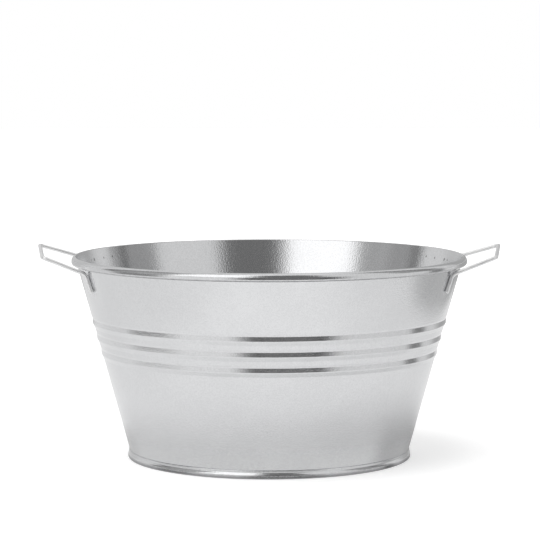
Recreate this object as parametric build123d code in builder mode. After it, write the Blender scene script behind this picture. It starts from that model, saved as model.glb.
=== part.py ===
from build123d import *
import os
from math import acos, atan, cos, degrees, sin, sqrt

# A round galvanised steel washing tub, in millimetres. It stands on the XY plane with its axis on Z.
# The two wire handles reach out along X, and the photograph looks along +Y.

# The sheet and the wires
sheet = 0.7  # thickness of the galvanised steel
rim_wire_diameter = 3.0
handle_wire_diameter = 4.0

# The tapered wall
rim_outer_radius = 200.0  # outermost reach of the rolled rim
rim_height = 204.8  # top of the rolled rim above the floor
rim_overhang = 3.45  # of the rim past the wall's outer face, both measured at the top of the rim
wall_foot_radius = 141.5  # outer face where the wall turns down into the foot seam

# The rolled rim: flush with the wall inside, a wide curve over the top, an upright face outside,
# and a curl under the wire
rim_edge_radius = 0.7  # middle of the sheet where it turns out of the wall
rim_shoulder_radius = 4.25
rim_face_height = 1.3  # of the upright face between the shoulder and the curl
rim_wire_clearance = 0.4  # the sheet is curled round the wire without gripping it
rim_curl_end = 135.0  # degrees below level at which the curled edge stops, close to the wall

# The three pressed ribs: each has an upright face, and the wall leans back under it
rib_count = 3
rib_top_height = 143.0
rib_pitch = 15.55
rib_face_height = 5.1
rib_inset = 0.35  # how far the top of the face stands inside the plain cone
rib_blend_height = 1.8
rib_return_height = 4.2
rib_bend_radius = 2.2

# The double seam of the foot
seam_clearance = 0.05
hook_gap = 0.6  # between the wall and its own turned-up edge, filled with sealant
hook_bend_radius = 0.6
hook_top_height = 3.4
hook_head_room = 1.0  # from the hook's edge up to where the shoulder over it leans in
seam_bend_radius = 1.1
seam_flare = 0.35  # how far the foot ring widens down to the floor
seam_shoulder_rise = 1.8
seam_shoulder_radius = 3.2
lip_bend_radius = 1.0
lip_rise = 2.2  # the lip ends in the raw edge that shows as a fine line round the tub
wall_bend_radius = 2.0
wall_bend_drop = 0.2  # of the wall's bend below the foot of the lip outside it

# The recessed bottom
bottom_height = 8.6  # middle of the sheet above the floor
bottom_bend_radius = 2.0
panel_margin = 29.5  # from the wall's foot in to the raised panel, which keeps the bottom from drumming
panel_rise = 1.8
panel_slope_width = 4.0
panel_bend_radius = 1.8

# The upright lock seam of the wall, outside, at the back
side_seam_azimuth = 106.0  # degrees from +X
side_seam_width = 7.0
side_seam_rise = 1.4
side_seam_foot_height = 10.0
side_seam_top_drop = 8.8  # below the top of the rim
seam_root = 0.1  # how far the strip runs into the sheet

# The wire handles, given for the left one: the front leg is nearer the camera
handle_leg_top_drop = 12.8  # below the top of the rim
handle_leg_drop = 18.5  # of the leg's foot below its top
handle_leg_foot_spread = 75.3  # from the middle of the tub, along Y
handle_leg_top_spread = 74.3
handle_bar_rise = 3.8  # of the bar's middle above the top of the rim
handle_front_reach = 23.4  # past the rim
handle_back_reach = 39.2
handle_front_spread = 71.9
handle_back_spread = 73.4
handle_leg_bend_radius = 8.0
handle_corner_radius = 5.0
handle_end_rounding = 1.4
handle_stand_off = 0.1  # weld metal between the wire and the wall

# The weld nuggets, two to a leg
weld_radius = 1.5
weld_length = 5.0
weld_places = [0.3, 0.75]  # along the leg, from its top

# Worked out from the sizes above
seam_shoulder_height = hook_top_height + hook_head_room
lip_foot_height = seam_shoulder_height + seam_shoulder_rise
lip_top_height = lip_foot_height + lip_rise
foot_bend_height = lip_foot_height - wall_bend_drop
side_seam_top_height = rim_height - side_seam_top_drop
panel_radius = wall_foot_radius - panel_margin
curl_radius = rim_wire_diameter / 2 + rim_wire_clearance + sheet / 2
wall_top_radius = rim_outer_radius - rim_overhang
slope = (wall_top_radius - wall_foot_radius) / (rim_height - foot_bend_height)
lean = atan(slope)
rib_crest = rib_face_height * slope - rib_inset
handle_wire_radius = handle_wire_diameter / 2
handle_leg_top_height = rim_height - handle_leg_top_drop
handle_leg_foot_height = handle_leg_top_height - handle_leg_drop
handle_bar_height = rim_height + handle_bar_rise


def wall_face(height):
    """Radius of the outer face of the plain cone at this height."""
    return wall_foot_radius + (height - foot_bend_height) * slope


def wall_middle(height):
    """Radius of the middle of the sheet at this height."""
    return wall_face(height) - sheet / 2 / cos(lean)


def rib_points(outwards=0.0):
    """Points of the ribs from the lowest up, moved outwards by some amount square to the wall."""
    shift = outwards / cos(lean)
    points = []
    for i in reversed(range(rib_count)):
        top = rib_top_height - i * rib_pitch
        foot = top - rib_face_height
        for height, stand in (
            (foot - rib_return_height, 0.0),
            (foot, rib_crest),
            (top, -rib_inset),
            (top + rib_blend_height, 0.0),
        ):
            points.append((wall_middle(height) + stand + shift, height))
    return points


# The radii of the four upright layers of the foot seam, middle of the sheet
wall_leg_radius = wall_middle(foot_bend_height)
hook_leg_radius = wall_leg_radius + sheet + hook_gap
outer_leg_radius = hook_leg_radius + sheet + seam_clearance
inner_leg_radius = wall_leg_radius - sheet - seam_clearance
seam_floor = sheet / 2
hook_floor = seam_floor + sheet + seam_clearance

# Centres of the rim's three arcs, and how steep the sheet is where the edge runs into the shoulder
edge_height = rim_height - sheet / 2 - rim_edge_radius
edge_centre = Vector(wall_middle(edge_height) + rim_edge_radius / cos(lean), edge_height)
shoulder_centre_radius = rim_outer_radius - sheet / 2 - rim_shoulder_radius
edge_end = acos((edge_centre.X - shoulder_centre_radius) / (rim_shoulder_radius - rim_edge_radius))
shoulder_centre = edge_centre - Vector(cos(edge_end), sin(edge_end)) * (rim_shoulder_radius - rim_edge_radius)
curl_centre = shoulder_centre + Vector(rim_shoulder_radius - curl_radius, -rim_face_height)
edge_start = edge_centre - Vector(cos(lean), -sin(lean)) * rim_edge_radius

with BuildPart() as side_seam:
    seam_middle = (sheet + side_seam_rise - seam_root) / 2
    seam_shift = seam_middle / cos(lean)
    with BuildSketch(Plane.XZ) as side_seam_section:
        with BuildLine():
            Polyline(
                (wall_middle(side_seam_foot_height) + seam_shift, side_seam_foot_height),
                *rib_points(seam_middle),
                (wall_middle(side_seam_top_height) + seam_shift, side_seam_top_height),
            )
            offset(amount=(side_seam_rise + seam_root) / 2)
        make_face()
    revolve(axis=Axis.Z)
    with Locations((rim_outer_radius, 0, rim_height / 2)):
        Box(rim_outer_radius, side_seam_width, rim_height, mode=Mode.INTERSECT)

with BuildPart() as tub_wall:
    with BuildSketch(Plane.XZ) as wall_section:
        with BuildLine():
            FilletPolyline(
                (hook_leg_radius, hook_top_height),
                (hook_leg_radius, hook_floor),
                (wall_leg_radius, hook_floor),
                (wall_leg_radius, foot_bend_height),
                *rib_points(),
                (edge_start.X, edge_start.Y),
                radius=[hook_bend_radius, hook_bend_radius, wall_bend_radius]
                + [rib_bend_radius] * (4 * rib_count),
            )
            CenterArc(
                (edge_centre.X, edge_centre.Y),
                rim_edge_radius,
                180 - degrees(lean),
                degrees(edge_end + lean) - 180,
            )
            CenterArc(
                (shoulder_centre.X, shoulder_centre.Y),
                rim_shoulder_radius,
                degrees(edge_end),
                -degrees(edge_end),
            )
            Line(
                (curl_centre.X + curl_radius, shoulder_centre.Y),
                (curl_centre.X + curl_radius, curl_centre.Y),
            )
            CenterArc((curl_centre.X, curl_centre.Y), curl_radius, 0, -rim_curl_end)
            offset(amount=sheet / 2)
        make_face()
    revolve(axis=Axis.Z)
    with Locations(Rotation(0, 0, side_seam_azimuth)):
        add(side_seam.part)
tub_wall.part.label = "tub_wall"

with BuildPart() as tub_bottom:
    lip_shift = (sheet + seam_clearance) / cos(lean)
    panel_height = bottom_height + panel_rise
    with BuildSketch(Plane.XZ) as bottom_section:
        with BuildLine():
            FilletPolyline(
                (wall_middle(lip_top_height) + lip_shift, lip_top_height),
                (wall_middle(lip_foot_height) + lip_shift, lip_foot_height),
                (outer_leg_radius, seam_shoulder_height),
                (outer_leg_radius + seam_flare, seam_floor),
                (inner_leg_radius, seam_floor),
                (inner_leg_radius, bottom_height),
                (panel_radius + panel_slope_width, bottom_height),
                (panel_radius, panel_height),
                (0, panel_height),
                radius=[
                    lip_bend_radius,
                    seam_shoulder_radius,
                    seam_bend_radius,
                    seam_bend_radius,
                    bottom_bend_radius,
                    panel_bend_radius,
                    panel_bend_radius,
                ],
            )
            offset(amount=sheet / 2)
        make_face()
        with Locations((rim_outer_radius / 2, rim_height / 2)):
            Rectangle(rim_outer_radius, rim_height, mode=Mode.INTERSECT)
    revolve(axis=Axis.Z)
tub_bottom.part.label = "tub_bottom"

with BuildPart() as rim_wire:
    with BuildSketch(Plane.XZ):
        with Locations((curl_centre.X, curl_centre.Y)):
            Circle(rim_wire_diameter / 2)
    revolve(axis=Axis.Z)
rim_wire.part.label = "rim_wire"

with BuildPart() as seam_sealant:
    sealant_low = hook_floor + sheet / 2 + hook_bend_radius
    with BuildSketch(Plane.XZ):
        with Locations(((wall_leg_radius + hook_leg_radius) / 2, (sealant_low + hook_top_height) / 2)):
            Rectangle(hook_gap - 2 * seam_clearance, hook_top_height - sealant_low)
    revolve(axis=Axis.Z)
seam_sealant.part.label = "seam_sealant"


def leg_point(height, spread, side):
    """Middle of the wire where it lies on the wall, on the left, at some height and distance along Y."""
    radius = wall_face(height) + (handle_stand_off + handle_wire_radius) / cos(lean)
    return Vector(-sqrt(radius**2 - spread**2), side * spread, height)


front, back = -1, 1
leg_ends = {
    side: (
        leg_point(handle_leg_top_height, handle_leg_top_spread, side),
        leg_point(handle_leg_foot_height, handle_leg_foot_spread, side),
    )
    for side in (front, back)
}

with BuildPart() as left_handle:
    with BuildLine() as handle_path:
        FilletPolyline(
            leg_ends[front][1],
            leg_ends[front][0],
            (-rim_outer_radius - handle_front_reach, front * handle_front_spread, handle_bar_height),
            (-rim_outer_radius - handle_back_reach, back * handle_back_spread, handle_bar_height),
            leg_ends[back][0],
            leg_ends[back][1],
            radius=[
                handle_leg_bend_radius,
                handle_corner_radius,
                handle_corner_radius,
                handle_leg_bend_radius,
            ],
        )
    with BuildSketch(Plane(origin=handle_path.wire() @ 0, z_dir=handle_path.wire() % 0)):
        Circle(handle_wire_radius)
    sweep()
    wire_ends = left_handle.faces().filter_by(GeomType.PLANE)
    fillet(wire_ends.edges(), radius=handle_end_rounding)
left_handle.part.label = "left_handle"

with BuildPart() as right_handle:
    mirror(left_handle.part, about=Plane.YZ)
right_handle.part.label = "right_handle"

with BuildPart() as wall_core:
    with BuildSketch(Plane.XZ):
        with BuildLine():
            Polyline(
                (0, foot_bend_height),
                (wall_foot_radius, foot_bend_height),
                (wall_face(rim_height), rim_height),
                (0, rim_height),
                close=True,
            )
        make_face()
    revolve(axis=Axis.Z)

with BuildPart() as left_handle_welds:
    for top, foot in leg_ends.values():
        for place in weld_places:
            middle = top + (foot - top) * place
            inwards = Vector(-middle.X, -middle.Y, 0).normalized() * cos(lean) + Vector(0, 0, sin(lean))
            centre = middle + inwards * (handle_wire_radius + handle_stand_off / 2)
            with Locations(Plane(origin=centre, z_dir=foot - top)):
                Cylinder(weld_radius, weld_length)
    add(left_handle.part, mode=Mode.SUBTRACT)
    add(wall_core.part, mode=Mode.SUBTRACT)
left_handle_welds.part.label = "left_handle_welds"

with BuildPart() as right_handle_welds:
    mirror(left_handle_welds.part, about=Plane.YZ)
right_handle_welds.part.label = "right_handle_welds"

os.makedirs("parts", exist_ok=True)
export_step(tub_wall.part, "parts/tub_wall.step")
export_step(tub_bottom.part, "parts/tub_bottom.step")
export_step(rim_wire.part, "parts/rim_wire.step")
export_step(seam_sealant.part, "parts/seam_sealant.step")
export_step(left_handle.part, "parts/left_handle.step")
export_step(right_handle.part, "parts/right_handle.step")
export_step(left_handle_welds.part, "parts/left_handle_welds.step")
export_step(right_handle_welds.part, "parts/right_handle_welds.step")

print("wall leans", round(degrees(lean), 2), "degrees; rib crest", round(rib_crest, 2), "mm")
print("rim shoulder starts", round(degrees(edge_end), 1), "degrees up; wire at", curl_centre)
print("foot ring radius", round(outer_leg_radius + seam_flare + sheet / 2, 2))
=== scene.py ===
import bpy
import bmesh
from math import acos, atan, cos, degrees, pi, radians, sin, sqrt, tan
from mathutils import Matrix, Vector


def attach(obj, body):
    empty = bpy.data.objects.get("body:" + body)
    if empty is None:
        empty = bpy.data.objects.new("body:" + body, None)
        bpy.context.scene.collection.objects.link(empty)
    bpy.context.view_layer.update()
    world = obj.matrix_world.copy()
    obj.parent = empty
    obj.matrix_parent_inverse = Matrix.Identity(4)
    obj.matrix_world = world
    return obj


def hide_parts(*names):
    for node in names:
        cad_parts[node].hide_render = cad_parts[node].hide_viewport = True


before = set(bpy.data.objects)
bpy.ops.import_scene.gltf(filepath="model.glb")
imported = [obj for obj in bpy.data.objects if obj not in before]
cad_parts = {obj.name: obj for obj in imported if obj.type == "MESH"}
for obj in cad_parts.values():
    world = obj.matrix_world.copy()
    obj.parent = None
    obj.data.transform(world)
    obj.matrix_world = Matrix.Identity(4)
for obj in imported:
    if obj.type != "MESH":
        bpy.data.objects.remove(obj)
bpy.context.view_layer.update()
mm = 0.001
scene = bpy.context.scene
upAxis = Vector((0, 0, 1))


# shader maths: one socket with arithmetic, and one way to make any other node

class Link:
    def __init__(self, shader, socket):
        self.shader, self.socket = shader, socket

    def maths(self, operation, *others):
        return self.shader.node("Math", {"operation": operation}, dict(enumerate((self,) + others)))

    def __add__(self, other):
        return self.maths("ADD", other)

    def __sub__(self, other):
        return self.maths("SUBTRACT", other)

    def __rsub__(self, other):
        return self.shader.node("Math", {"operation": "SUBTRACT"}, {0: other, 1: self})

    def __mul__(self, other):
        return self.maths("MULTIPLY", other)

    def __neg__(self):
        return self.maths("MULTIPLY", -1.0)

    __radd__ = __add__
    __rmul__ = __mul__


class Shader:
    def __init__(self, owner):
        owner.use_nodes = True
        self.tree = owner.node_tree
        self.tree.nodes.clear()

    def node(self, kind, settings={}, sockets={}, output=0):
        made = self.tree.nodes.new("ShaderNode" + kind)
        for name, value in settings.items():
            setattr(made, name, value)
        for name, value in sockets.items():
            if isinstance(value, Link):
                self.tree.links.new(value.socket, made.inputs[name])
            else:
                made.inputs[name].default_value = value
        return Link(self, made.outputs[output]) if made.outputs else None

    def smooth(self, value, low, high):
        # 0 below low, 1 above high, with a soft ramp in between
        return self.node("MapRange", {"interpolation_type": "SMOOTHSTEP"},
                         {"Value": value, "From Min": low, "From Max": high})

    def noise(self, where, scale, detail=2.0, rough=0.5):
        return self.node("TexNoise", {}, {"Vector": where, "Scale": scale, "Detail": detail,
                                          "Roughness": rough})

    def blend(self, mask, first, second, mode="MIX"):
        # Mix node on colours: 0 is the mask, 6 and 7 are the colours
        return self.node("Mix", {"data_type": "RGBA", "blend_type": mode},
                         {0: mask, 6: first, 7: second}, output=2)

    def axes(self, where):
        return [self.node("SeparateXYZ", {}, {0: where}, output=axis) for axis in "XYZ"]

    def distance(self, where, point):
        return self.node("VectorMath", {"operation": "DISTANCE"}, {0: where, 1: point}, output="Value")

    def surface(self, link):
        self.node("OutputMaterial", {}, {"Surface": link})


# the tub's shared sizes, in millimetres

tub = {
    "sheet": 0.7,
    "rimRadius": 200.0,
    "rimHeight": 204.8,
    "rimOverhang": 3.45,  # past the wall's outer face, at the top of the rim
    "wallFootRadius": 141.5,
    "footBendHeight": 6.0,
    "ringSteps": 288,
}

slope = ((tub["rimRadius"] - tub["rimOverhang"] - tub["wallFootRadius"])
         / (tub["rimHeight"] - tub["footBendHeight"]))
lean = atan(slope)


def wallFace(height):
    return tub["wallFootRadius"] + (height - tub["footBendHeight"]) * slope


def wallMiddle(height):
    return wallFace(height) - tub["sheet"] / 2 / cos(lean)


# mesh helpers

def pushOn(bm, geom, step):
    # one straight run: drags a point or a ring of edges along
    edges = [g for g in geom if isinstance(g, bmesh.types.BMEdge)]
    if edges:
        made = bmesh.ops.extrude_edge_only(bm, edges=edges)["geom"]
    else:
        made = bmesh.ops.extrude_vert_indiv(bm, verts=geom)["verts"]
    verts = [g for g in made if isinstance(g, bmesh.types.BMVert)]
    bmesh.ops.translate(bm, verts=verts, vec=step)
    if not edges:
        return verts
    return [g for g in made if isinstance(g, bmesh.types.BMEdge)]


def bendRound(bm, geom, centre, axis, turn, steps):
    made = bmesh.ops.spin(bm, geom=geom, cent=centre, axis=axis, dvec=(0, 0, 0), angle=turn,
                          steps=steps, use_merge=False)["geom_last"]
    edges = [g for g in made if isinstance(g, bmesh.types.BMEdge)]
    return edges or [g for g in made if isinstance(g, bmesh.types.BMVert)]


def followLine(bm, geom, corners, bends, steps):
    # straight runs between the corners, with a round bend at each corner on the way
    here = corners[0]
    for i in range(1, len(corners) - 1):
        before = (corners[i] - corners[i - 1]).normalized()
        after = (corners[i + 1] - corners[i]).normalized()
        turn = before.angle(after)
        bendStart = corners[i] - before * bends[i - 1] * tan(turn / 2)
        axis = before.cross(after).normalized()
        centre = bendStart + axis.cross(before) * bends[i - 1]
        geom = pushOn(bm, geom, bendStart - here)
        geom = bendRound(bm, geom, centre, axis, turn, steps[i - 1])
        here = corners[i] + after * bends[i - 1] * tan(turn / 2)
    return pushOn(bm, geom, corners[-1] - here)


def turnFull(bm):
    # a profile in the XZ plane, turned into the whole round
    bmesh.ops.spin(bm, geom=bm.verts[:] + bm.edges[:], cent=(0, 0, 0), axis=upAxis, dvec=(0, 0, 0),
                   angle=2 * pi, steps=tub["ringSteps"], use_merge=True)
    bmesh.ops.remove_doubles(bm, verts=bm.verts, dist=1e-6)
    bmesh.ops.recalc_face_normals(bm, faces=bm.faces)


def finishPiece(bm, name, material, nodes):
    mesh = bpy.data.meshes.new(name)
    bm.to_mesh(mesh)
    bm.free()
    for face in mesh.polygons:
        face.use_smooth = True
    mesh.materials.append(material)
    piece = bpy.data.objects.new(name, mesh)
    scene.collection.objects.link(piece)
    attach(piece, "root")
    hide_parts(*nodes)
    return piece


def thicken(piece, thickness):
    wall = piece.modifiers.new("sheet", "SOLIDIFY")
    wall.thickness = thickness
    wall.offset = 0
    wall.use_even_offset = True


def keepFlats(piece):
    # flats keep their own direction, so that only the bends curve the reflections
    even = piece.modifiers.new("flats", "WEIGHTED_NORMAL")
    even.mode = "FACE_AREA"
    even.weight = 100
    even.keep_sharp = True


# finishes

zinc = {
    "light": (0.80, 0.805, 0.815, 1),
    "dull": (0.73, 0.735, 0.745, 1),
    "roughness": 0.15,
    "grainSize": 1.45 * mm,
    "grainDepth": 0.085 * mm,  # on the inside; the outside is smoother
    "outsideGrain": 0.5,
    "waveDepth": 0.30 * mm,
    "spotScale": 260.0,
    "spotStrength": 0.3,
    "spotColour": (0.45, 0.45, 0.46, 1),
    # painted shade under the rolled rim and along the foot: the heights and the radii, in metres, where
    # it fades
    "rimPaintedShade": (0.1968, 0.1990, 0.1951, 0.1956),
    "footPaintedShade": (0.0015, 0.0048, 0.1426, 0.1430),
    "paintedShadeDrift": 1.2 * mm,
    "paintedShade": 0.75,
    "paintedShadeColour": (0.26, 0.26, 0.27, 1),
    # scorched dots inside, behind each handle's welds, the same on every side: across, along and size
    "dots": [(181.9, 64.4, 1.5), (173.4, 84.6, 1.0), (165.4, 99.4, 0.9), (184.6, 56.8, 0.8)],
    "dotHeight": 194.5,
    "dotDrift": 2.0 * mm,
    "dotStrength": 0.8,
    "dotColour": (0.20, 0.20, 0.20, 1),
    # the welding dulled the zinc round each leg
    "legMiddle": (177.6 * mm, 74.8 * mm, 183.0 * mm),
    "scorchFade": (7 * mm, 16 * mm),
    "scorchDrift": 10 * mm,
    "scorchRoughness": 0.28,
    "scorchSmoothing": 0.8,
}


def makeZincSheet():
    material = bpy.data.materials.new("brightZincSheet")
    shader = Shader(material)
    where = shader.node("TexCoord", output="Object")
    grain = shader.noise(where, 1 / zinc["grainSize"], 0.6, 0.5)
    mottle = shader.noise(where, 0.35 / zinc["grainSize"], 2.0, 0.6)
    cloud = shader.noise(where, 22.0, 3.0, 0.55)
    drift = shader.noise(where, 7.0, 2.0, 0.5)
    rolled = shader.node("Mapping", {}, {"Vector": where, "Scale": (14.0, 14.0, 1500.0)})
    streak = shader.noise(rolled, 1.0, 2.0, 0.6)
    spots = shader.smooth(shader.noise(where, zinc["spotScale"], 2.0, 0.5), 0.72, 0.80)
    tone = shader.smooth(grain * 0.5 + mottle * 0.2 + cloud * 0.3, 0.34, 0.66)
    colour = shader.blend(tone, zinc["dull"], zinc["light"])
    colour = shader.blend(spots * zinc["spotStrength"], colour, zinc["spotColour"])

    x, y, z = shader.axes(where)
    radius = (x * x + y * y).maths("SQRT")
    inside = 1 - shader.smooth(radius - z * slope, (wallMiddle(0) - 0.1) * mm, (wallMiddle(0) + 0.1) * mm)
    height = z + (mottle - 0.5) * zinc["paintedShadeDrift"]
    # painted shade: the base colour darkens under the rolled rim and along the foot, standing in for the
    # shade there
    rim, foot = [(1 - shader.smooth(height, full, gone)) * shader.smooth(radius, inner, outer)
                 for full, gone, inner, outer in (zinc["rimPaintedShade"], zinc["footPaintedShade"])]
    colour = shader.blend((rim + foot) * zinc["paintedShade"], colour, zinc["paintedShadeColour"])

    mirrored = shader.node("VectorMath", {"operation": "ABSOLUTE"}, {0: where}, output="Vector")
    for across, along, size in zinc["dots"]:
        away = shader.distance(mirrored, (across * mm, along * mm, zinc["dotHeight"] * mm))
        away = away + (mottle - 0.5) * zinc["dotDrift"]
        dot = (1 - shader.smooth(away, size * 0.6 * mm, size * 1.6 * mm)) * inside
        colour = shader.blend(dot * zinc["dotStrength"], colour, zinc["dotColour"])

    away = shader.distance(mirrored, zinc["legMiddle"]) + (mottle - 0.5) * zinc["scorchDrift"]
    scorch = (1 - shader.smooth(away, *zinc["scorchFade"])) * (1 - inside)
    roughness = zinc["roughness"] + (grain - 0.5) * 0.08 + (cloud - 0.5) * 0.04 + (streak - 0.5) * 0.05
    roughness = roughness + scorch * zinc["scorchRoughness"]
    rough = zinc["outsideGrain"] + inside * (1 - zinc["outsideGrain"])
    rough = rough * (1 - scorch * zinc["scorchSmoothing"])
    depth = (grain * rough * zinc["grainDepth"] + mottle * (zinc["grainDepth"] * 0.3)
             + streak * (zinc["grainDepth"] * 0.15) + drift * zinc["waveDepth"])
    bump = shader.node("Bump", {}, {"Height": depth, "Strength": 1.0, "Distance": 1.0})
    shader.surface(shader.node("BsdfPrincipled", {}, {
        "Base Color": colour, "Metallic": 1.0, "Roughness": roughness, "Normal": bump}))
    return material


wireZinc = {
    "light": (0.95, 0.95, 0.95, 1),
    "dull": (0.86, 0.862, 0.865, 1),
    "metallic": 0.7,
    "roughness": 0.32,
    "grainScale": 1200.0,
    "grainDepth": 0.004 * mm,
    "cloudScale": 90.0,
    "cloudDepth": 0.02 * mm,
}


def makeZincWire():
    material = bpy.data.materials.new("brightZincWire")
    shader = Shader(material)
    where = shader.node("TexCoord", output="Object")
    grain = shader.noise(where, wireZinc["grainScale"], 3.0, 0.6)
    cloud = shader.noise(where, wireZinc["cloudScale"], 3.0, 0.6)
    colour = shader.blend(shader.smooth(cloud, 0.35, 0.65), wireZinc["dull"], wireZinc["light"])
    roughness = wireZinc["roughness"] + (grain - 0.5) * 0.08 + (cloud - 0.5) * 0.08
    depth = grain * wireZinc["grainDepth"] + cloud * wireZinc["cloudDepth"]
    bump = shader.node("Bump", {}, {"Height": depth, "Strength": 1.0, "Distance": 1.0})
    shader.surface(shader.node("BsdfPrincipled", {}, {
        "Base Color": colour, "Metallic": wireZinc["metallic"], "Roughness": roughness, "Normal": bump}))
    return material


weldLook = {
    "bright": (0.80, 0.80, 0.81, 1),
    "burnt": (0.45, 0.44, 0.43, 1),
    "roughness": 0.40,
    "rippleScale": 900.0,
    "rippleDepth": 0.05 * mm,
    "burnScale": 350.0,
}


def makeWeldMetal():
    material = bpy.data.materials.new("weldMetal")
    shader = Shader(material)
    where = shader.node("TexCoord", output="Object")
    ripple = shader.noise(where, weldLook["rippleScale"], 3.0, 0.7)
    burn = shader.smooth(shader.noise(where, weldLook["burnScale"], 2.0, 0.5), 0.45, 0.62)
    colour = shader.blend(burn, weldLook["bright"], weldLook["burnt"])
    roughness = weldLook["roughness"] + (ripple - 0.5) * 0.3
    bump = shader.node("Bump", {}, {"Height": ripple * weldLook["rippleDepth"], "Strength": 1.0,
                                    "Distance": 1.0})
    shader.surface(shader.node("BsdfPrincipled", {}, {
        "Base Color": colour, "Metallic": 1.0, "Roughness": roughness, "Normal": bump}))
    return material


sealantLook = {
    "dark": (0.30, 0.30, 0.28, 1),
    "light": (0.46, 0.46, 0.43, 1),
    "roughness": 0.55,
    "lumpScale": 600.0,
    "lumpDepth": 0.05 * mm,
}


def makeSealant():
    material = bpy.data.materials.new("seamSealant")
    shader = Shader(material)
    where = shader.node("TexCoord", output="Object")
    lumps = shader.noise(where, sealantLook["lumpScale"], 3.0, 0.6)
    colour = shader.blend(lumps, sealantLook["dark"], sealantLook["light"])
    bump = shader.node("Bump", {}, {"Height": lumps * sealantLook["lumpDepth"], "Strength": 1.0,
                                    "Distance": 1.0})
    shader.surface(shader.node("BsdfPrincipled", {}, {
        "Base Color": colour, "Roughness": sealantLook["roughness"] + lumps * 0.25, "Normal": bump}))
    return material


zincSheet = makeZincSheet()
zincWire = makeZincWire()
weldMetal = makeWeldMetal()
sealant = makeSealant()
print("finishes made")


# the wall: hooked foot, three ribs, and the rim rolled over its wire

wall = {
    "ribs": 3,
    "ribTop": 143.0,
    "ribPitch": 15.55,
    "ribFace": 5.1,
    "ribInset": 0.35,
    "ribBlend": 1.8,
    "ribReturn": 4.2,
    "ribBend": 2.2,
    "rimEdge": 0.7,  # bend out of the wall, then the shoulder, a straight face and the curl
    "rimShoulder": 4.25,
    "rimFace": 1.3,
    "rimCurl": 2.25,
    "curlEnd": 135.0,
    "hookGap": 0.6,
    "hookBend": 0.6,
    "hookTop": 3.4,
    "seamGap": 0.05,
    "footBend": 2.0,
}


def ribCorners(outwards):
    # from the lowest rib up, moved outwards square to the wall
    crest = wall["ribFace"] * slope - wall["ribInset"]
    corners = []
    for i in reversed(range(wall["ribs"])):
        top = wall["ribTop"] - i * wall["ribPitch"]
        foot = top - wall["ribFace"]
        for height, stand in ((foot - wall["ribReturn"], 0), (foot, crest),
                              (top, -wall["ribInset"]), (top + wall["ribBlend"], 0)):
            corners.append(Vector((wallMiddle(height) + stand + outwards / cos(lean), 0, height)))
    return corners


def makeWall():
    sheet, edge, shoulder = tub["sheet"], wall["rimEdge"], wall["rimShoulder"]
    legRadius = wallMiddle(tub["footBendHeight"])
    hookRadius = legRadius + sheet + wall["hookGap"]
    hookFloor = sheet * 1.5 + wall["seamGap"]
    edgeHeight = tub["rimHeight"] - sheet / 2 - edge
    edgeCentre = Vector((wallMiddle(edgeHeight) + edge / cos(lean), 0, edgeHeight))
    edgeStart = edgeCentre - Vector((cos(lean), 0, -sin(lean))) * edge
    edgeEnd = acos((edgeCentre.x - tub["rimRadius"] + sheet / 2 + shoulder) / (shoulder - edge))
    shoulderCentre = edgeCentre - Vector((cos(edgeEnd), 0, sin(edgeEnd))) * (shoulder - edge)
    curlCentre = shoulderCentre + Vector((shoulder - wall["rimCurl"], 0, -wall["rimFace"]))
    corners = [Vector((hookRadius, 0, wall["hookTop"])), Vector((hookRadius, 0, hookFloor)),
               Vector((legRadius, 0, hookFloor)), Vector((legRadius, 0, tub["footBendHeight"])),
               *ribCorners(0), edgeStart]
    bends = [wall["hookBend"]] * 2 + [wall["footBend"]] + [wall["ribBend"]] * (4 * wall["ribs"])
    steps = [8, 8, 4] + [3, 6, 6, 3] * wall["ribs"]
    bm = bmesh.new()
    line = bmesh.ops.create_vert(bm, co=corners[0])["vert"]
    line = followLine(bm, line, corners, bends, steps)
    sideways = Vector((0, 1, 0))
    line = bendRound(bm, line, edgeCentre, sideways, pi - lean - edgeEnd, 8)
    line = bendRound(bm, line, shoulderCentre, sideways, edgeEnd, 16)
    line = pushOn(bm, line, Vector((0, 0, -wall["rimFace"])))
    bendRound(bm, line, curlCentre, sideways, radians(wall["curlEnd"]), 20)
    bmesh.ops.scale(bm, vec=(mm, mm, mm), verts=bm.verts)
    turnFull(bm)
    piece = finishPiece(bm, "tubWall", zincSheet, ["tub_wall"])
    thicken(piece, sheet * mm)
    keepFlats(piece)
    return piece


tubWall = makeWall()
print("wall made:", len(tubWall.data.polygons), "faces before its thickness")


# the upright lock seam at the back

sideSeam = {
    "azimuth": 106.0,  # degrees from +X
    "width": 7.0,
    "rise": 1.4,
    "foot": 10.0,
    "top": 196.0,
    "root": 0.1,  # how far the strip runs into the sheet
    "edgeRound": 0.45,
}


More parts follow.
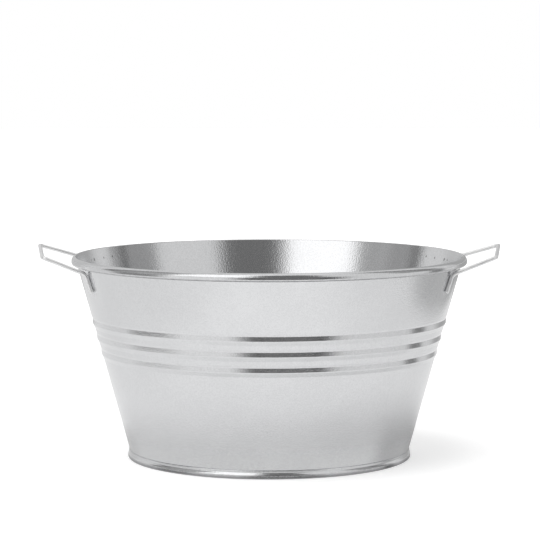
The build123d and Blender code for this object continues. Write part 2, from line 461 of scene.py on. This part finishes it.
def makeSideSeam():
    out = (tub["sheet"] + sideSeam["rise"] - sideSeam["root"]) / 2
    foot, top, width = sideSeam["foot"], sideSeam["top"], sideSeam["width"]
    corners = [Vector((wallMiddle(foot) + out / cos(lean), -width / 2, foot))]
    corners += [c - Vector((0, width / 2, 0)) for c in ribCorners(out)]
    corners += [Vector((wallMiddle(top) + out / cos(lean), -width / 2, top))]
    bm = bmesh.new()
    line = bmesh.ops.create_vert(bm, co=corners[0])["vert"]
    followLine(bm, line, corners, [wall["ribBend"]] * (4 * wall["ribs"]), [3, 6, 6, 3] * wall["ribs"])
    made = bmesh.ops.extrude_edge_only(bm, edges=bm.edges[:])["geom"]
    verts = [g for g in made if isinstance(g, bmesh.types.BMVert)]
    bmesh.ops.translate(bm, verts=verts, vec=(0, width, 0))
    bmesh.ops.recalc_face_normals(bm, faces=bm.faces)
    bmesh.ops.rotate(bm, verts=bm.verts, cent=(0, 0, 0),
                     matrix=Matrix.Rotation(radians(sideSeam["azimuth"]), 3, "Z"))
    bmesh.ops.scale(bm, vec=(mm, mm, mm), verts=bm.verts)
    piece = finishPiece(bm, "tubSideSeam", zincSheet, ["tub_wall"])
    thicken(piece, (sideSeam["rise"] + sideSeam["root"]) * mm)
    soft = piece.modifiers.new("edges", "BEVEL")
    soft.width = sideSeam["edgeRound"] * mm
    soft.segments = 3
    soft.limit_method = "ANGLE"
    soft.angle_limit = radians(50)
    keepFlats(piece)


makeSideSeam()
print("side seam made")


# the bottom, with its edge folded round the wall's hook

bottom = {
    "lipTop": 8.4,
    "lipFoot": 6.2,
    "shoulder": 4.4,
    "flare": 0.35,
    "lipBend": 1.0,
    "shoulderBend": 3.2,
    "seamBend": 1.1,
    "height": 8.6,
    "bend": 2.0,
    "panelRadius": 112.0,
    "panelRise": 1.8,
    "panelSlope": 4.0,
    "panelBend": 1.8,
}


def makeBottom():
    sheet, gap = tub["sheet"], wall["seamGap"]
    legRadius = wallMiddle(tub["footBendHeight"])
    outerRadius = legRadius + 2 * sheet + wall["hookGap"] + gap
    innerRadius = legRadius - sheet - gap
    lipShift = (sheet + gap) / cos(lean)
    panelHeight = bottom["height"] + bottom["panelRise"]
    corners = [Vector((r, 0, z)) for r, z in (
        (wallMiddle(bottom["lipTop"]) + lipShift, bottom["lipTop"]),
        (wallMiddle(bottom["lipFoot"]) + lipShift, bottom["lipFoot"]),
        (outerRadius, bottom["shoulder"]),
        (outerRadius + bottom["flare"], sheet / 2),
        (innerRadius, sheet / 2),
        (innerRadius, bottom["height"]),
        (bottom["panelRadius"] + bottom["panelSlope"], bottom["height"]),
        (bottom["panelRadius"], panelHeight),
        (0, panelHeight))]
    bends = [bottom["lipBend"], bottom["shoulderBend"]] + [bottom["seamBend"]] * 2
    bends += [bottom["bend"]] + [bottom["panelBend"]] * 2
    bm = bmesh.new()
    line = bmesh.ops.create_vert(bm, co=corners[0])["vert"]
    followLine(bm, line, corners, bends, [6, 8, 10, 10, 8, 6, 6])
    bmesh.ops.scale(bm, vec=(mm, mm, mm), verts=bm.verts)
    turnFull(bm)
    piece = finishPiece(bm, "tubBottom", zincSheet, ["tub_bottom"])
    thicken(piece, sheet * mm)
    keepFlats(piece)
    return piece


tubBottom = makeBottom()
print("bottom made:", len(tubBottom.data.polygons), "faces before its thickness")


# the handles: each is one wire, bent as on a bench

handle = {
    "wire": 4.0,
    "legTop": 192.0,
    "legFoot": 173.5,
    "legTopSpread": 74.3,
    "legFootSpread": 75.3,
    "barHeight": 208.6,
    "frontReach": 223.4,
    "backReach": 239.2,
    "frontSpread": 71.9,
    "backSpread": 73.4,
    "legBend": 8.0,
    "cornerBend": 5.0,
    "endRound": 1.4,
    "standOff": 0.1,
    "sides": 32,
}


def legPoint(height, spread, side):
    radius = wallFace(height) + (handle["standOff"] + handle["wire"] / 2) / cos(lean)
    return Vector((-sqrt(radius ** 2 - spread ** 2), side * spread, height))


def handleCorners(hand):
    # hand is 1 for the left handle and -1 for the right one
    corners = [legPoint(handle["legFoot"], handle["legFootSpread"], -1),
               legPoint(handle["legTop"], handle["legTopSpread"], -1),
               Vector((-handle["frontReach"], -handle["frontSpread"], handle["barHeight"])),
               Vector((-handle["backReach"], handle["backSpread"], handle["barHeight"])),
               legPoint(handle["legTop"], handle["legTopSpread"], 1),
               legPoint(handle["legFoot"], handle["legFootSpread"], 1)]
    return [Vector((c.x * hand, c.y, c.z)) for c in corners]


def makeHandle(hand, name, node):
    corners = handleCorners(hand)
    start = (corners[1] - corners[0]).normalized()
    facing = start.to_track_quat("Z", "Y").to_matrix().to_4x4()
    bm = bmesh.new()
    bmesh.ops.create_circle(bm, cap_ends=False, segments=handle["sides"], radius=handle["wire"] / 2,
                            matrix=Matrix.Translation(corners[0]) @ facing)
    bends = [handle["legBend"], handle["cornerBend"], handle["cornerBend"], handle["legBend"]]
    followLine(bm, bm.edges[:], corners, bends, [14, 14, 14, 14])
    ends = [e for e in bm.edges if e.is_boundary]
    caps = bmesh.ops.holes_fill(bm, edges=ends)["faces"]
    bmesh.ops.recalc_face_normals(bm, faces=bm.faces)
    rims = list({e for f in caps for e in f.edges})
    bmesh.ops.bevel(bm, geom=rims, offset=handle["endRound"], segments=5, profile=0.5, affect="EDGES",
                    material=-1)
    bmesh.ops.scale(bm, vec=(mm, mm, mm), verts=bm.verts)
    bmesh.ops.recalc_face_normals(bm, faces=bm.faces)
    finishPiece(bm, name, zincWire, [node])


makeHandle(1, "leftHandle", "left_handle")
makeHandle(-1, "rightHandle", "right_handle")
print("handles made")


# the weld nuggets, two to a leg

welds = {
    "places": [0.3, 0.75],  # along the leg, from its top
    "length": 5.0,
    "width": 2.2,
    "height": 1.3,
    "sink": 0.5,  # how far the nugget reaches back from the gap into the leg
}


def makeWelds(hand, name, node):
    corners = handleCorners(hand)
    bm = bmesh.new()
    for foot, top in ((corners[0], corners[1]), (corners[5], corners[4])):
        along = (foot - top).normalized()
        for place in welds["places"]:
            middle = top + (foot - top) * place
            inwards = Vector((-middle.x, -middle.y, 0)).normalized() * cos(lean) + upAxis * sin(lean)
            across = along.cross(inwards).normalized()
            inwards = across.cross(along)
            centre = middle + inwards * (handle["wire"] / 2 + handle["standOff"] / 2 - welds["sink"])
            blob = bmesh.ops.create_icosphere(bm, subdivisions=4, radius=1.0)["verts"]
            bmesh.ops.scale(bm, vec=(welds["width"] / 2, welds["height"] / 2, welds["length"] / 2),
                            verts=blob)
            for v in blob:
                # a cooled drop: pinched at its ends, with small ripples along it
                swell = 1 + 0.05 * sin(v.co.z * 2.6 + place * 20) + 0.04 * sin(v.co.x * 4.3 + middle.y)
                v.co.x *= swell
                v.co.y *= swell
            turn = Matrix((across, inwards, along)).transposed().to_4x4()
            bmesh.ops.transform(bm, matrix=Matrix.Translation(centre) @ turn, verts=blob)
    bmesh.ops.scale(bm, vec=(mm, mm, mm), verts=bm.verts)
    bmesh.ops.recalc_face_normals(bm, faces=bm.faces)
    finishPiece(bm, name, weldMetal, [node])


makeWelds(1, "leftHandleWelds", "left_handle_welds")
makeWelds(-1, "rightHandleWelds", "right_handle_welds")
print("welds made")


# pieces that stay as the CAD made them

for node, material in (("rim_wire", zincWire), ("seam_sealant", sealant)):
    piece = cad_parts[node]
    piece.data.materials.clear()
    piece.data.materials.append(material)


# the studio: pale floor, soft room and the camera

camera = {
    "distance": 2488.65,
    "height": 423.8,
    "pitch": 0.0938,
    "imageSize": 540,
    "sensor": 36,
    "focalPixels": 2464.8,
    "shiftPixels": (0.75, -0.2),
}
lens = bpy.data.cameras.new("photoCamera")
lens.lens = camera["focalPixels"] / camera["imageSize"] * camera["sensor"]
lens.sensor_width = camera["sensor"]
lens.shift_x, lens.shift_y = [shift / camera["imageSize"] for shift in camera["shiftPixels"]]
lens.clip_start, lens.clip_end = 0.05, 50
photoCamera = bpy.data.objects.new("photoCamera", lens)
photoCamera.location = (0, -camera["distance"] * mm, camera["height"] * mm)
photoCamera.rotation_euler = (pi / 2 - camera["pitch"], 0, 0)
scene.collection.objects.link(photoCamera)
scene.camera = photoCamera

studio = {
    "floorRadius": 9.0,
    "floorColour": (0.80, 0.80, 0.80, 1),
    "floorGlow": 0.47,  # lifts the paper to white for the camera
    "floorShine": 0.13,  # and its reflection in the tub, away from the foot and the middle line
    # left, right, front and back: past these a reflection sees the room, over the softness given next
    "paperEdges": (-1.12, 0.51, -0.62, 1.10),
    "paperSoftness": (0.08, 0.04, 0.05, 0.1),
    "footShade": 0.9,  # how far the paper gives way to the room next to the foot
    "footReach": (0.15, 0.24),
    "room": 0.73,
    "keyPower": 1.2,
    "keyWidth": 40.0,  # degrees
    "keyAzimuth": -60.0,
    "keyElevation": 74.0,
    # each panel: from and to azimuth, from and to elevation, softness of its sides, brightness
    # azimuth 0 is towards the camera and grows to the right
    "panels": [
        (-62, 80, 66, 95, 6, 0.9),
        (-180, -50, 66, 95, 8, 0.62),
        (-50, 0, 66, 95, 8, 1.15),
        (-200, -138, -20, 40, 8, 0.60),
        (138, 200, -20, 40, 8, 0.42),
        (-111, -99, 3, 60, 3, 0.20),
        (-100, -80, 3, 60, 4, 0.36),
        (-80, -60, 3, 60, 3, 0.42),
        (-60, -50, -20, 62, 4, 0.85),
        (-60, -20, -20, -3, 4, 0.85),
        (32, 80, -20, 64, 8, 0.74),
        (78, 101, 3, 60, 4, 0.34),
        (101, 110, 3, 60, 3, 0.14),
        (110, 118, 3, 60, 3, 0.38),
        (104, 150, -40, -12, 12, 0.50),
        (-16, 41, -20, 8, 12, 0.02),
        (-8, 32, -20, 62, 6, 0.17),
        (-57, -13, 8, 63, 5, 1.30),
        (-100, -66, -14, 5, 8, 0.27),
        (105, 120, -14, 3, 3, 0.24),
    ],
}


def makeFloor():
    bm = bmesh.new()
    bmesh.ops.create_circle(bm, cap_ends=True, segments=96, radius=studio["floorRadius"])
    mesh = bpy.data.meshes.new("paleFloor")
    bm.to_mesh(mesh)
    bm.free()
    material = bpy.data.materials.new("palePaper")
    shader = Shader(material)
    path = shader.node("LightPath", output="Is Camera Ray")
    gloss = shader.node("LightPath", output="Is Glossy Ray")
    through = shader.node("LightPath", output="Is Transmission Ray")
    where = shader.node("TexCoord", output="Object")
    x, y, z = shader.axes(where)
    away = shader.node("VectorMath", {"operation": "LENGTH"}, {0: where}, output="Value")
    left, right, front, back = [shader.smooth(side, edge - soft, edge + soft) for side, edge, soft in
                                zip((x, x, y, y), studio["paperEdges"], studio["paperSoftness"])]
    paper = left * (1 - right) * front * (1 - back)
    paper = paper * (1 - (1 - shader.smooth(away, *studio["footReach"])) * studio["footShade"])
    shine = shader.smooth(away, 0.16, 0.30) * (1 - shader.smooth(x.maths("ABSOLUTE"), 0.10, 0.50))
    glow = path * studio["floorGlow"] + (gloss + through) * shine * studio["floorShine"]
    pale = shader.node("BsdfDiffuse", {}, {"Color": studio["floorColour"]})
    light = shader.node("Emission", {}, {"Color": (1, 1, 1, 1), "Strength": glow})
    sheet = shader.node("AddShader", {}, {0: pale, 1: light})
    # reflections see the room past the paper's edges
    shader.surface(shader.node("MixShader", {}, {
        0: gloss * (1 - paper), 1: sheet, 2: shader.node("BsdfTransparent")}))
    mesh.materials.append(material)
    floor = bpy.data.objects.new("paleFloor", mesh)
    scene.collection.objects.link(floor)


def makeRoom():
    room = bpy.data.worlds.new("softRoom")
    scene.world = room
    shader = Shader(room)
    direction = shader.node("TexCoord", output="Generated")
    x, y, z = shader.axes(direction)
    azimuth = x.maths("ARCTAN2", -y) * degrees(1)
    elevation = z.maths("ARCSINE") * degrees(1)
    level = x * 0.0 + studio["room"]
    for left, right, low, high, soft, bright in studio["panels"]:
        mask = (shader.smooth(azimuth, left - soft, left + soft)
                * (1 - shader.smooth(azimuth, right - soft, right + soft))
                * shader.smooth(elevation, low - 4, low + 4)
                * (1 - shader.smooth(elevation, high - 4, high + 4)))
        level = level + (bright - level) * mask
    seen = shader.node("LightPath", output="Is Camera Ray")
    level = level + (1 - level) * seen
    back = shader.node("Background", {}, {"Color": (1, 1, 1, 1), "Strength": level})
    shader.node("OutputWorld", {}, {"Surface": back})


def makeKey():
    # throws the soft shadow to the right; its own reflection is the room's bright panel
    lamp = bpy.data.lights.new("softKey", "SUN")
    lamp.energy = studio["keyPower"]
    lamp.angle = radians(studio["keyWidth"])
    key = bpy.data.objects.new("softKey", lamp)
    side, rise = radians(studio["keyAzimuth"]), radians(studio["keyElevation"])
    towards = Vector((sin(side) * cos(rise), -cos(side) * cos(rise), sin(rise)))
    key.rotation_euler = towards.to_track_quat("Z", "Y").to_euler()
    key.visible_glossy = False
    key.visible_camera = False
    scene.collection.objects.link(key)


makeFloor()
makeRoom()
makeKey()
scene.view_settings.view_transform = "Standard"
print("studio made")

bpy.context.view_layer.update()
